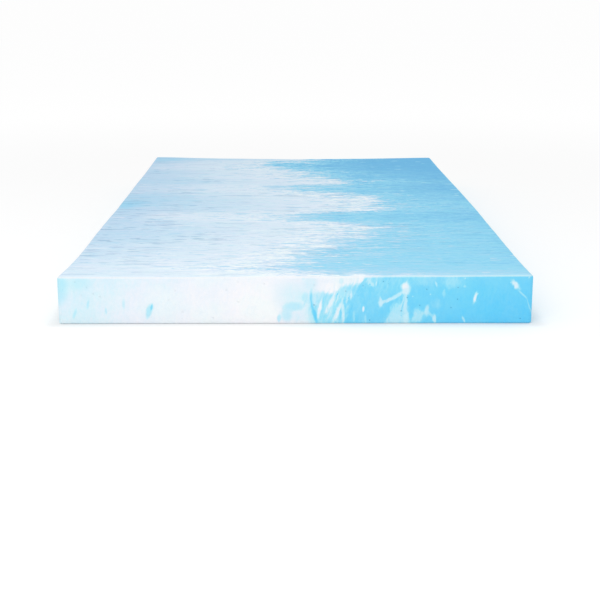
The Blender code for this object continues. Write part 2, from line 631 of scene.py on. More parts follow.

# %% [markdown]
# ## The marbling on the top
#
# One number does the marbling: how much gel the foam holds, from 0 for white to 1 for full blue. On the
# top it depends on how far a place lies past the border between white and blue. Curves through a few
# points say where the border runs, how the gel grows past it, and how much more of it shows further off,
# which is painted shade where the light falls off towards the far end; the near end gets less.
# A few soft clouds of gel lie on that.

# %% Where white meets blue on the top


class BorderPoint(NamedTuple):
    """Where the white foam ends at one place along the length, in metres."""

    along: float
    across: float


TOP_BORDER = (
    BorderPoint(-0.955, 0.15),
    BorderPoint(-0.93, 0.08),
    BorderPoint(-0.90, 0.02),
    BorderPoint(-0.87, -0.05),
    BorderPoint(-0.84, 0.00),
    BorderPoint(-0.78, 0.04),
    BorderPoint(-0.70, 0.09),
    BorderPoint(-0.58, 0.13),
    BorderPoint(-0.50, 0.19),
    BorderPoint(-0.40, 0.20),
    BorderPoint(-0.32, 0.10),
    BorderPoint(-0.25, 0.01),
    BorderPoint(-0.18, 0.15),
    BorderPoint(-0.09, 0.26),
    BorderPoint(0.02, 0.22),
    BorderPoint(0.14, 0.15),
    BorderPoint(0.22, 0.05),
    BorderPoint(0.30, 0.08),
    BorderPoint(0.38, 0.20),
    BorderPoint(0.47, 0.06),
    BorderPoint(0.55, 0.08),
    BorderPoint(0.65, 0.00),
    BorderPoint(0.75, -0.05),
    BorderPoint(0.84, -0.01),
    BorderPoint(0.90, 0.06),
    BorderPoint(0.955, 0.16),
)


class GelPoint(NamedTuple):
    """The amount of gel at one distance past the border, in metres."""

    past: float
    gel: float


TOP_GEL = (
    GelPoint(-0.70, 0.26),
    GelPoint(-0.50, 0.21),
    GelPoint(-0.30, 0.12),
    GelPoint(-0.14, 0.08),
    GelPoint(-0.07, 0.12),
    GelPoint(-0.02, 0.26),
    GelPoint(0.02, 0.46),
    GelPoint(0.07, 0.59),
    GelPoint(0.16, 0.67),
    GelPoint(0.45, 0.78),
)


class DepthShade(NamedTuple):
    """How much more gel shows at one place along the length: more towards the far end, as painted shade,
    and less at the near end.
    """

    along: float
    more: float


TOP_DEPTH_SHADE = (
    DepthShade(-0.955, -0.24),
    DepthShade(-0.93, -0.18),
    DepthShade(-0.87, -0.07),
    DepthShade(-0.80, -0.02),
    DepthShade(0.00, 0.12),
    DepthShade(0.95, 0.28),
)
print("border points:", len(TOP_BORDER))

# %% Clouds on the top


class Cloud(NamedTuple):
    """A soft cloud on the top: its middle and half sizes in metres, the amount of gel that it draws
    towards, and how strongly."""

    x: float
    y: float
    half_x: float
    half_y: float
    gel: float
    strength: float


TOP_CLOUDS = (
    Cloud(-0.480, -0.06, 0.060, 0.055, 0.60, 0.9),
    Cloud(-0.44, 0.03, 0.11, 0.09, 0.36, 0.6),
    Cloud(-0.47, -0.24, 0.08, 0.10, 0.34, 0.5),
    Cloud(-0.45, -0.52, 0.12, 0.10, 0.30, 0.4),
    Cloud(-0.47, 0.90, 0.10, 0.09, 0.38, 0.5),
    Cloud(-0.28, 0.94, 0.22, 0.03, 0.26, 0.5),
    Cloud(0.06, 0.26, 0.12, 0.045, 0.46, 0.7),
    Cloud(0.07, -0.83, 0.09, 0.03, 0.60, 0.4),
    Cloud(0.04, -0.25, 0.09, 0.045, 0.42, 0.5),
    Cloud(-0.04, 0.78, 0.05, 0.03, 0.60, 0.5),
)
CLOUD_SOFTNESS = 0.7


def cloudy(tree, gel, here, ragged):
    """The gel amount after all the clouds were laid on it."""
    for cloud in TOP_CLOUDS:
        gel = place(
            tree,
            WISP,
            Gel=gel,
            Place=here,
            Centre=(cloud.x, cloud.y, THICKNESS),
            Half_Size=(cloud.half_x, cloud.half_y, 1.0),
            Target=cloud.gel,
            Strength=cloud.strength,
            Softness=CLOUD_SOFTNESS,
            Ragged=ragged,
        )["Gel"]
    return gel


print("clouds on the top:", len(TOP_CLOUDS))

# %% [markdown]
# ## The border frays
#
# Stirred gel breaks up from large to small, so streaks of four sizes shift the distance past the border
# back and forth, and swing the amount of gel as well. All of them lie across the slab, as the slicer draws
# them. Flecks break the streaks up: pale ones in the blue, teal and white ones in the white.

# %% Streaks and flecks on the top
# A cell and its bend run across, along and upwards, in metres.
TONGUES = {"Cell": (0.15, 0.045, 0.1), "Bend": (0.10, 0.03, 0.02)}
LONG_STREAKS = {"Cell": (0.080, 0.012, 0.05), "Bend": (0.04, 0.010, 0.02), "Eddy": 0.1}
DASHES = {"Cell": (0.036, 0.0078, 0.02), "Bend": (0.014, 0.005, 0.01), "Eddy": 0.03}
CRUMBS = {"Cell": (0.012, 0.010, 0.02), "Bend": (0.006, 0.004, 0.01), "Roughness": 0.65}
BORDER_MOVES = (0.065, 0.04, 0.03, 0.03)  # metres by which each of the four moves the border
PALE_FLECK = Fleck((0.045, 0.015, 0.03), 0.42, 0.42, 0.02)
LOOSE_FLECK = Fleck((0.040, 0.018, 0.03), 0.12, 0.35, 0.25)
TEAL_FLECK = Fleck((0.070, 0.015, 0.03), 0.20, 0.42, 0.48)
WHITE_FLECK = Fleck((0.090, 0.017, 0.04), 0.36, 0.42, 0.00)


def drawn_out(tree, here):
    """The place with its length read through y (0.85 - 0.17 y), which stretches all that is drawn there
    towards the far end: 1.4 times in the middle and 2.2 times at the far end, against the near end."""
    parts = node(tree, "SeparateXYZ", here).outputs
    along = product(tree, parts["Y"], moved(tree, 0.85, parts["Y"], -0.17))
    return node(tree, "CombineXYZ", parts["X"], along, parts["Z"]).outputs[0]


def top_streaks(tree, here):
    """The four sizes of streaks on the level cuts: tongues, long streaks, dashes and crumbs."""
    there = drawn_out(tree, here)
    sizes = ((here, TONGUES), (there, LONG_STREAKS), (there, DASHES), (there, CRUMBS))
    return [place(tree, STREAKS, Vector=vector, **size) for vector, size in sizes]


print("the border moves by up to about", sum(BORDER_MOVES), "m")

# %% Flecks on the top


def flecks_on_top(tree, gel, four_sizes, mixing, calmer):
    """The gel amount with crests, troughs and flecks: paler ones in the blue, teal and white ones in the
    white. Most of them lie where the two mix, and those in the blue in loose flocks."""
    tongues, streaks, dashes, crumbs = four_sizes
    blue = rise(tree, gel, 0.25, 0.6)
    white = rise(tree, gel, 0.15, 0.5, 1.0, 0.0)
    flocks = rise(tree, tongues["Value"], -0.4, 0.4)
    pale = product(tree, blue, product(tree, moved(tree, 0.10, mixing, 0.9), flocks))
    teal = product(tree, white, moved(tree, product(tree, calmer, 0.4), mixing, 0.7))
    broken = moved(tree, dashes["Value"], crumbs["Value"], 0.5)
    gel = moved(tree, gel, product(tree, rise(tree, broken, 0.50, 0.75), teal), 0.26)
    gel = moved(tree, gel, product(tree, rise(tree, broken, -0.50, -0.75), pale), -0.40)
    ragged = product(tree, crumbs["Value"], 0.10)
    for size, fleck, where in (
        (streaks, PALE_FLECK, pale),
        (tongues, LOOSE_FLECK, product(tree, blue, 0.7)),
        (dashes, TEAL_FLECK, teal),
        (streaks, WHITE_FLECK, teal),
    ):
        gel = flecked(tree, gel, size["Bent"], fleck, where, ragged)
    return gel


print("kinds of fleck on the top:", len((PALE_FLECK, LOOSE_FLECK, TEAL_FLECK, WHITE_FLECK)))

# %% Gel on the top


def gel_on_top(tree, here):
    """The amount of gel on the level cuts, from the distance past the border. The streaks swing it the
    most where white and blue mix, and grow calmer towards the far end."""
    four_sizes = top_streaks(tree, here)
    tongues, streaks, dashes, crumbs = four_sizes
    parts = node(tree, "SeparateXYZ", tongues["Bent"]).outputs
    past = calculate(tree, "SUBTRACT", parts["X"], curve_through(tree, parts["Y"], TOP_BORDER))
    for size, move in zip(four_sizes, BORDER_MOVES):
        past = moved(tree, past, size["Value"], move)
    gel = cloudy(tree, curve_through(tree, past, TOP_GEL), tongues["Bent"], streaks["Value"])

    mixing = node(tree, "MapRange", calculate(tree, "ABSOLUTE", past), 0.04, 0.24, 1.0, 0.0).outputs[0]
    calmer = rise(tree, parts["Y"], -0.9, 0.9, 1.4, 0.6)
    swing = calculate(tree, "ADD", dashes["Value"], streaks["Value"])
    swing = calculate(tree, "ADD", swing, crumbs["Value"])
    swing = moved(tree, swing, tongues["Value"], 0.3)
    amount = product(tree, calmer, rise(tree, gel, 0.2, 0.6, 0.036, 0.060))
    gel = moved(tree, gel, swing, moved(tree, amount, mixing, 0.13))
    gel = flecks_on_top(tree, gel, four_sizes, mixing, calmer)
    # painted shade: more gel, and so a deeper colour, towards the far end where the light falls off; less
    # at the near end
    depth_shade = curve_through(tree, parts["Y"], TOP_DEPTH_SHADE)
    return moved(tree, gel, depth_shade, rise(tree, gel, 0.0, 0.6, 0.2, 1.0))


print("points on the top's gel curves:", len(TOP_GEL) + len(TOP_DEPTH_SHADE))

# %% [markdown]
# ## The marbling on the sides
#
# The blade cut the sides upright, through the same streaks but from another direction, so they look like
# leaning strokes there. On the near side the larger wisps stand where they stand on the real slab, and
# a table lists them. The other sides get strokes of the same kind at random.

# %% Wisps on the near side


class Wisp(NamedTuple):
    """One wisp on the near side: its middle and half sizes in metres, its lean to the right in degrees,
    the amount of gel that it draws towards, how strongly, and how soft its rim is."""

    x: float
    z: float
    half_length: float
    half_width: float
    lean: float
    gel: float
    strength: float
    softness: float


NEAR_WISPS = (
    # the white end: a blue corner, faint strokes and a drop
    Wisp(-0.487, 0.088, 0.014, 0.014, 0, 0.38, 0.9, 0.6),
    Wisp(-0.490, 0.066, 0.024, 0.014, 20, 0.36, 0.9, 0.8),
    Wisp(-0.446, 0.088, 0.014, 0.020, 0, 0.30, 0.7, 0.7),
    Wisp(-0.430, 0.043, 0.0085, 0.0022, 12, 0.42, 0.6, 0.6),
    Wisp(-0.459, 0.022, 0.010, 0.0028, 18, 0.40, 0.6, 0.6),
    Wisp(-0.394, 0.029, 0.006, 0.002, 5, 0.40, 0.6, 0.6),
    Wisp(-0.356, 0.043, 0.010, 0.003, 2, 0.30, 0.7, 0.6),
    Wisp(-0.304, 0.028, 0.015, 0.0056, 20, 0.36, 1.0, 0.5),
    Wisp(-0.299, 0.036, 0.006, 0.0018, 15, 0.75, 0.7, 0.6),
    # the cloud where the white ends
    Wisp(-0.004, 0.062, 0.034, 0.034, 0, 0.19, 0.9, 0.85),
    Wisp(-0.034, 0.012, 0.009, 0.0038, 5, 0.34, 0.9, 0.5),
    Wisp(-0.004, 0.037, 0.009, 0.021, 0, 0.34, 0.9, 0.5),
    Wisp(-0.018, 0.020, 0.015, 0.011, 0, 0.30, 0.9, 0.6),
    Wisp(0.002, 0.014, 0.012, 0.008, 0, 0.18, 0.8, 0.5),
    Wisp(0.019, 0.023, 0.020, 0.005, 0, 0.15, 1.0, 0.5),
    Wisp(0.023, 0.057, 0.010, 0.018, 0, 0.24, 0.7, 0.7),
    Wisp(0.020, 0.056, 0.011, 0.0062, 0, 0.32, 0.9, 0.5),
    Wisp(0.015, 0.097, 0.0035, 0.004, 0, 0.22, 0.8, 0.5),
    # the strokes that fan out to the right of it
    Wisp(0.066, 0.030, 0.044, 0.037, 0, 0.44, 0.85, 0.4),
    Wisp(0.032, 0.064, 0.028, 0.0024, -3, 0.62, 0.9, 0.6),
    Wisp(0.035, 0.034, 0.020, 0.0024, -10, 0.72, 0.8, 0.6),
    Wisp(0.041, 0.017, 0.015, 0.003, -12, 0.92, 0.9, 0.6),
    Wisp(0.041, 0.052, 0.014, 0.0032, -8, 0.22, 0.7, 0.6),
    Wisp(0.049, 0.031, 0.0195, 0.0034, 13, 0.13, 1.0, 0.5),
    Wisp(0.056, 0.036, 0.018, 0.0018, 6, 0.60, 0.6, 0.6),
    Wisp(0.074, 0.047, 0.027, 0.0042, 24, 0.14, 1.0, 0.5),
    Wisp(0.087, 0.056, 0.014, 0.0018, 20, 0.18, 0.8, 0.6),
    Wisp(0.070, 0.022, 0.016, 0.0022, 22, 0.30, 0.8, 0.6),
    Wisp(0.087, 0.026, 0.025, 0.0038, 22, 0.17, 1.0, 0.5),
    Wisp(0.098, 0.024, 0.022, 0.0032, -2, 0.24, 1.0, 0.5),
    Wisp(0.093, 0.020, 0.011, 0.0022, 8, 0.70, 0.8, 0.6),
    Wisp(0.104, 0.066, 0.010, 0.012, 0, 0.38, 0.8, 0.6),
    Wisp(0.114, 0.060, 0.009, 0.0018, 8, 0.22, 0.9, 0.6),
    Wisp(0.106, 0.048, 0.008, 0.0018, 14, 0.30, 0.7, 0.6),
    Wisp(0.121, 0.014, 0.009, 0.0018, 0, 0.46, 0.7, 0.6),
    Wisp(0.141, 0.032, 0.0056, 0.0026, 0, 0.16, 1.0, 0.5),
    Wisp(0.145, 0.010, 0.010, 0.002, 0, 0.42, 0.8, 0.6),
    # the white band along the top
    Wisp(0.060, 0.090, 0.019, 0.034, 0, 0.07, 1.0, 0.4),
    Wisp(0.030, 0.086, 0.018, 0.015, 0, 0.21, 0.9, 0.6),
    Wisp(0.073, 0.077, 0.011, 0.015, 0, 0.00, 1.0, 0.5),
    Wisp(0.110, 0.099, 0.0125, 0.030, 12, 0.07, 1.0, 0.4),
    Wisp(0.095, 0.091, 0.006, 0.005, 0, 0.24, 0.8, 0.6),
    Wisp(0.140, 0.088, 0.012, 0.0034, 35, 0.78, 0.8, 0.5),
    Wisp(0.152, 0.088, 0.005, 0.007, 20, 0.36, 0.8, 0.7),
    Wisp(0.159, 0.083, 0.0035, 0.004, 60, 0.26, 0.8, 0.6),
    Wisp(0.167, 0.085, 0.005, 0.0018, 10, 0.30, 0.9, 0.6),
    # the fork in the blue
    Wisp(0.208, 0.020, 0.030, 0.014, 20, 0.36, 0.9, 0.35),
    Wisp(0.212, 0.005, 0.015, 0.027, 0, 0.34, 0.9, 0.4),
    Wisp(0.229, 0.016, 0.026, 0.007, -5, 0.34, 0.9, 0.5),
    Wisp(0.230, 0.010, 0.015, 0.0045, 0, 0.22, 0.8, 0.6),
    Wisp(0.228, 0.046, 0.023, 0.0032, 2, 0.30, 0.9, 0.6),
    Wisp(0.222, 0.048, 0.017, 0.002, 12, 0.36, 0.9, 0.6),
    Wisp(0.222, 0.036, 0.010, 0.0012, 8, 0.70, 0.8, 0.6),
    Wisp(0.189, 0.050, 0.015, 0.0034, 66, 0.30, 0.9, 0.5),
    Wisp(0.207, 0.059, 0.017, 0.0042, 60, 0.30, 0.9, 0.5),
    Wisp(0.176, 0.044, 0.008, 0.0045, 5, 0.24, 0.9, 0.5),
    Wisp(0.177, 0.051, 0.007, 0.0024, -12, 0.30, 0.8, 0.6),
    Wisp(0.228, 0.074, 0.015, 0.0095, 14, 0.22, 1.0, 0.45),
    Wisp(0.226, 0.081, 0.006, 0.007, 0, 0.06, 0.9, 0.7),
    Wisp(0.256, 0.014, 0.019, 0.010, 55, 0.36, 0.9, 0.5),
    Wisp(0.252, 0.024, 0.010, 0.009, 0, 0.38, 0.8, 0.6),
    Wisp(0.273, 0.030, 0.011, 0.005, 0, 0.30, 0.9, 0.5),
    Wisp(0.268, 0.011, 0.008, 0.005, 0, 0.72, 0.8, 0.5),
    Wisp(0.282, 0.019, 0.011, 0.0028, -38, 0.44, 0.8, 0.5),
    Wisp(0.289, 0.011, 0.010, 0.004, -5, 0.28, 1.0, 0.5),
    # the blue end
    Wisp(0.293, 0.042, 0.0085, 0.009, 0, 0.58, 0.7, 0.7),
    Wisp(0.308, 0.063, 0.0085, 0.003, 0, 0.52, 0.8, 0.5),
    Wisp(0.291, 0.085, 0.006, 0.0018, -15, 0.32, 0.8, 0.5),
    Wisp(0.262, 0.094, 0.010, 0.018, 0, 0.56, 0.8, 0.7),
    Wisp(0.322, 0.090, 0.012, 0.016, 0, 0.48, 0.8, 0.7),
    Wisp(0.350, 0.080, 0.0028, 0.0036, 0, 0.46, 0.8, 0.5),
    Wisp(0.350, 0.010, 0.007, 0.0024, -20, 0.34, 0.9, 0.5),
    Wisp(0.373, 0.056, 0.012, 0.0036, 13, 0.12, 1.0, 0.5),
    Wisp(0.455, 0.083, 0.012, 0.0056, -40, 0.20, 1.0, 0.55),
    Wisp(0.470, 0.063, 0.012, 0.002, -43, 0.46, 0.9, 0.5),
    Wisp(0.485, 0.038, 0.016, 0.0015, -20, 0.50, 0.9, 0.5),
)
WISP_REACH = 0.08  # how deep a wisp reaches into the slab, which keeps it to the near side


def wispy(tree, gel, here, ragged):
    """The gel amount after all the near side's wisps were laid on it, in axes that run across, upwards
    and into the slab."""
    parts = node(tree, "SeparateXYZ", here).outputs
    on_side = node(tree, "CombineXYZ", parts["X"], parts["Z"], parts["Y"]).outputs[0]
    for wisp in NEAR_WISPS:
        gel = place(
            tree,
            WISP,
            Gel=gel,
            Place=on_side,
            Centre=(wisp.x, wisp.z, -LENGTH / 2),
            Half_Size=(wisp.half_width, wisp.half_length, WISP_REACH),
            Lean=math.radians(wisp.lean),
            Target=wisp.gel,
            Strength=wisp.strength,
            Softness=wisp.softness,
            Ragged=ragged,
        )["Gel"]
    return gel


print("wisps on the near side:", len(NEAR_WISPS))

# %% Streaks and strokes on the sides
STROKE_LEAN = 0.27  # metres that the strokes lean sideways for each metre upwards
OFF_NEAR = 0.06  # metres from the near end at which strokes at random have their full strength
SIDE_EDDIES = {"Cell": (0.045, 0.060, 0.09), "Bend": (0.016, 0.02, 0.014), "Eddy": 0.08}
SIDE_GRAIN = {"Cell": (0.0065, 0.008, 0.010), "Bend": (0.006, 0.006, 0.005), "Eddy": 0.02}
SIDE_STRANDS = {"Cell": (0.0055, 0.007, 0.045), "Bend": (0.008, 0.008, 0.01), "Eddy": 0.03}
SIDE_CLOUDS = {"Cell": (0.09, 0.13, 0.07), "Detail": 2.0}
WIDE_STROKE = Fleck((0.028, 0.028, 0.080), 0.12, 0.42, 0.15)
THIN_STROKE = Fleck((0.012, 0.014, 0.050), 0.12, 0.42, 0.30)
BLUE_DROP = Fleck((0.022, 0.025, 0.062), 0.06, 0.42, 0.40)
DARK_SPECK = Fleck((0.011, 0.013, 0.012), 0.10, 0.20, 1.0)
PALE_SPECK = Fleck((0.012, 0.014, 0.014), 0.10, 0.20, 0.3)


def side_strands(tree, here):
    """Thin upright streaks that lean sideways on their way up."""
    sideways = product(tree, node(tree, "SeparateXYZ", here).outputs["Z"], -STROKE_LEAN)
    shear = node(tree, "CombineXYZ", sideways, sideways, 0.0).outputs[0]
    return place(tree, STREAKS, Vector=calculate_vector(tree, "ADD", here, shear), **SIDE_STRANDS)


def strokes_at_random(tree, gel, blue, along, eddies, strands, ragged):
    """The gel amount with clouds and strokes at random, away from the near side: paler ones in the blue
    and blue drops in the white."""
    off_near = rise(tree, along, -LENGTH / 2, -LENGTH / 2 + OFF_NEAR)
    in_blue = product(tree, blue, off_near)
    in_white = product(tree, rise(tree, gel, 0.1, 0.4, 1.0, 0.0), off_near)
    clouds = place(tree, STREAKS, Vector=eddies["Bent"], **SIDE_CLOUDS)["Value"]
    gel = between(tree, product(tree, rise(tree, clouds, 0.1, 0.9, 0.0, 0.9), in_blue), gel, 0.42)
    for fleck, where in ((WIDE_STROKE, in_blue), (THIN_STROKE, in_blue), (BLUE_DROP, in_white)):
        gel = flecked(tree, gel, strands["Bent"], fleck, where, ragged)
    return gel


print("kinds of stroke on the sides:", len((WIDE_STROKE, THIN_STROKE, BLUE_DROP)))

# %% Gel on the sides
SIDE_GEL = (
    GelPoint(-0.60, 0.20),
    GelPoint(-0.46, 0.16),
    GelPoint(-0.36, 0.10),
    GelPoint(-0.24, 0.05),
    GelPoint(-0.06, 0.02),
    GelPoint(-0.015, 0.12),
    GelPoint(0.015, 0.46),
    GelPoint(0.06, 0.64),
    GelPoint(0.18, 0.74),
    GelPoint(0.45, 0.90),
)
SIDE_HIGHLIGHT_GEL = 0.40  # the share of the gel that still shows at the top edge, where it is paler as a painted highlight


def gel_on_sides(tree, here, top_edge):
    """The amount of gel on the upright cuts. The border stands upright below and leans out above. Strands
    run through it, most of all where white and blue mix. More gel towards the bottom is painted shade,
    and less on the top edge a painted highlight."""
    eddies = place(tree, STREAKS, Vector=here, **SIDE_EDDIES)
    grain = place(tree, STREAKS, Vector=here, **SIDE_GRAIN)
    strands = side_strands(tree, here)
    parts = node(tree, "SeparateXYZ", eddies["Bent"]).outputs
    border = rise(tree, parts["Z"], 0.050, 0.105, 0.035, 0.150)
    past = calculate(tree, "SUBTRACT", parts["X"], border)
    past = moved(tree, past, eddies["Value"], 0.012)
    past = moved(tree, past, strands["Value"], 0.012)
    gel = curve_through(tree, past, SIDE_GEL)
    gel = moved(tree, gel, eddies["Value"], rise(tree, gel, 0.2, 0.7, 0.04, 0.08))

    blue = rise(tree, gel, 0.3, 0.7)
    straight = node(tree, "SeparateXYZ", here).outputs
    ragged = product(tree, calculate(tree, "ADD", grain["Value"], strands["Value"]), 0.16)
    gel = strokes_at_random(tree, gel, blue, straight["Y"], eddies, strands, ragged)
    gel = wispy(tree, gel, grain["Bent"], ragged)

    mixing = product(tree, rise(tree, past, -0.04, 0.0), rise(tree, past, 0.05, 0.14, 1.0, 0.0))
    gel = moved(tree, gel, strands["Value"], moved(tree, 0.022, mixing, 0.08))
    gel = moved(tree, gel, grain["Value"], rise(tree, gel, 0.2, 0.7, 0.03, 0.06))
    speckled = product(tree, blue, 0.6)
    gel = flecked(tree, gel, grain["Bent"], DARK_SPECK, speckled)
    gel = flecked(tree, gel, strands["Bent"], PALE_SPECK, speckled)
    # painted shade: more gel, and so a deeper colour, towards the bottom of the sides
    painted_shade_low = rise(tree, straight["Z"], 0.0, THICKNESS, 0.06, -0.02)
    gel = moved(tree, gel, painted_shade_low, rise(tree, gel, 0.1, 0.7))
    # painted highlight: less gel, and so a paler colour, on the rounded top edge
    return product(tree, gel, rise(tree, top_edge, 0.0, 0.8, 1.0, SIDE_HIGHLIGHT_GEL))


print("points on the sides' gel curve:", len(SIDE_GEL))

# %% [markdown]
# ## The colours
#
# A colour ramp turns the amount of gel into a colour. The level cut and the blade's cuts have one each.
# The level cut's is paler and duller: the slicer drags its band over it and leaves fuzz, and the whitish
# sheen that such fuzz shows at a low angle is painted into the ramp.

# %% Colours by the amount of gel


class Stop(NamedTuple):
    """The foam's colour at one amount of gel."""

    gel: float
    colour: tuple


# painted sheen: the level cut's blues are paler and duller than the upright cuts'
LEVEL_CUT_SHEEN_COLOURS = (
    Stop(0.00, (0.92, 0.985, 1.0)),
    Stop(0.05, (0.80, 0.905, 0.985)),
    Stop(0.13, (0.73, 0.86, 0.965)),
    Stop(0.30, (0.55, 0.765, 0.92)),
    Stop(0.50, (0.405, 0.735, 0.92)),
    Stop(0.75, (0.295, 0.71, 0.925)),
    Stop(1.00, (0.16, 0.52, 0.835)),
)
UPRIGHT_CUT_COLOURS = (
    Stop(0.00, (0.865, 0.875, 0.885)),
    Stop(0.12, (0.755, 0.825, 0.880)),
    Stop(0.25, (0.575, 0.800, 0.875)),
    Stop(0.50, (0.335, 0.725, 0.872)),
    Stop(0.75, (0.195, 0.64, 0.870)),
    Stop(1.00, (0.122, 0.59, 0.885)),
)


def colour_scale(tree, gel, stops):
    """The colour at an amount of gel, blended between the stops."""
    ramp = node(tree, "ValToRGB", gel)
    elements = ramp.color_ramp.elements
    for stop in stops[1:-1]:
        elements.new(stop.gel)
    for element, stop in zip(elements, stops):
        element.position = stop.gel
        element.color = (*stop.colour, 1.0)
    return ramp.outputs["Color"]


def blend_colours(tree, share, first, second, way="MIX"):
    """The first colour where share is 0, and the second, or the first blended with it, where it is 1."""
    mix = tree.nodes.new("ShaderNodeMix")
    mix.data_type = "RGBA"
    mix.blend_type = way
    for name, value in (("Factor_Float", share), ("A_Color", first), ("B_Color", second)):
        fill(tree, next(socket for socket in mix.inputs if socket.identifier == name), value)
    return next(socket for socket in mix.outputs if socket.identifier == "Result_Color")


print("colour stops:", len(LEVEL_CUT_SHEEN_COLOURS) + len(UPRIGHT_CUT_COLOURS))

# %% [markdown]
# ## Nicks and pores
#
# The slicer tears the level cut in short nicks that lie across the slab, in loose flocks. The blade's
# upright cuts are cleaner, with a few large bubbles cut open. Both are a bump, with painted shade in
# their hollows. Where they lie doesn't depend on the gel, because a renderer works a bump out three
# times, and the gel is a long sum. But they show best in the white of the level cut and in the blue of
# the upright cuts.

# %% Where the cut is torn
# painted shade in the hollows of the nicks, slits and pores
NICK_PAINTED_SHADE = (0.60, 0.72, 0.80, 1.0)
NICK_FLOCKS = {"Cell": (0.16, 0.06, 0.1), "Bend": (0.05, 0.03, 0.02)}
NICK_GRAIN = {"Cell": (0.016, 0.006, 0.02), "Bend": (0.02, 0.008, 0.01), "Eddy": 0.06}
NICK = Fleck((0.045, 0.0115, 0.05), 0.50, 0.5)
SLIT = Fleck((0.150, 0.0110, 0.05), 0.45, 0.5)
PORE = Fleck((0.013, 0.013, 0.013), 0.30, 0.17)


def nicks_and_pores(tree, here, level):
    """Where the cut is torn, from 0 to 1: nicks on the level cuts, most of them along the white side and
    in the nearer half, and pores on the upright cuts."""
    there = drawn_out(tree, here)
    flocks = place(tree, STREAKS, Vector=there, **NICK_FLOCKS)
    grain = place(tree, STREAKS, Vector=there, **NICK_GRAIN)
    ragged = product(tree, grain["Value"], 0.16)
    nicks = fleck_mask(tree, grain["Bent"], NICK, ragged)
    slits = fleck_mask(tree, flocks["Bent"], SLIT, ragged)
    parts = node(tree, "SeparateXYZ", here).outputs
    crowd = calculate(tree, "ADD", flocks["Value"], rise(tree, parts["X"], -0.50, -0.20, 0.7, 0.0))
    crowd = rise(tree, crowd, -0.3, 0.7, 0.15, 1.0)
    fading = rise(tree, parts["Y"], -0.5, 0.9, 1.0, 0.4)
    fading = product(tree, fading, rise(tree, parts["Y"], -0.95, -0.50, 0.45, 1.0))
    torn = product(tree, calculate(tree, "MAXIMUM", nicks, slits), product(tree, crowd, fading))
    return between(tree, level, fleck_mask(tree, here, PORE), torn)


def painted_shade_where_torn(tree, colour, torn, level, side_gel, top_gel):
    """The colour with painted shade in the nicks and pores."""
    in_white = rise(tree, top_gel, 0.15, 0.60, 1.0, 0.45)
    in_blue = rise(tree, side_gel, 0.15, 0.45, 0.05, 1.0)
    seen = product(tree, torn, between(tree, level, in_blue, in_white))
    return blend_colours(tree, seen, colour, blend_colours(tree, 1.0, colour, NICK_PAINTED_SHADE, "MULTIPLY"))


print("nick shade:", NICK_PAINTED_SHADE[:3])

# %% [markdown]
# ## The gel foam
#
# Foam scatters light in its web, so the shader is rough and has almost no shine. It takes its gel from the
# level cut or from the upright cuts, by how level the surface is, and the change between them is frayed.
# Over the colour lie a slow drift of tint and the painted shade of the open cells and the tears. The
# level cut's sheen and the top edge's highlight are painted too.

# %% Tints and bumps
LEVEL_HIGHLIGHT_GEL = 0.65  # the share of the gel that still shows on the rounding of the top edge, paler as a painted highlight
HOLE_PAINTED_SHADE = (0.90, 0.93, 0.95, 1.0)
LAVENDER_TINT = (1.0, 0.962, 0.985, 1.0)
VIOLET_TINT = (1.0, 0.98, 1.0, 1.0)
GREEN_TINT = (0.97, 1.0, 0.995, 1.0)
EDGE_FRAY = {"Cell": (0.025, 0.012, 0.02), "Bend": (0.01, 0.01, 0.01)}
TINT_DRIFT = {"Cell": (0.05, 0.02, 0.04), "Bend": (0.03, 0.01, 0.02)}
RIPPLES = {"Cell": (0.06, 0.016, 0.06), "Detail": 4.0, "Roughness": 0.6}
RIPPLE_HEIGHT, CELL_HEIGHT, TEAR_DEPTH = 0.0007, 0.00012, 0.0005  # metres


def stored(tree, name):
    """The number stored on the mesh under the name."""
    return node(tree, "Attribute", attribute_name=name).outputs["Fac"]


def level_colour_with_sheen(tree, here, gel):
    """The colour of the level cut, with its painted sheen and a breath of lavender along the white side but
    for its near end.
    """
    parts = node(tree, "SeparateXYZ", here).outputs
    lavender = rise(tree, parts["X"], -0.50, -0.22, 1.0, 0.0)
    lavender = product(tree, lavender, rise(tree, parts["Y"], -0.95, -0.25, 0.0, 1.0))
    colour = colour_scale(tree, gel, LEVEL_CUT_SHEEN_COLOURS)
    return blend_colours(tree, lavender, colour, LAVENDER_TINT, "MULTIPLY")


def foam_height(tree, here, cells, torn):
    """The bump in metres: ripples and open cells stand out, and tears are sunk in."""
    ripples = place(tree, STREAKS, Vector=here, **RIPPLES)
    height = product(tree, ripples["Value"], RIPPLE_HEIGHT)
    height = moved(tree, height, cells["Height"], CELL_HEIGHT)
    return moved(tree, height, torn, -TEAR_DEPTH)


print("bump heights, mm:", [1000 * height for height in (RIPPLE_HEIGHT, CELL_HEIGHT, TEAR_DEPTH)])

# %% The gel foam material


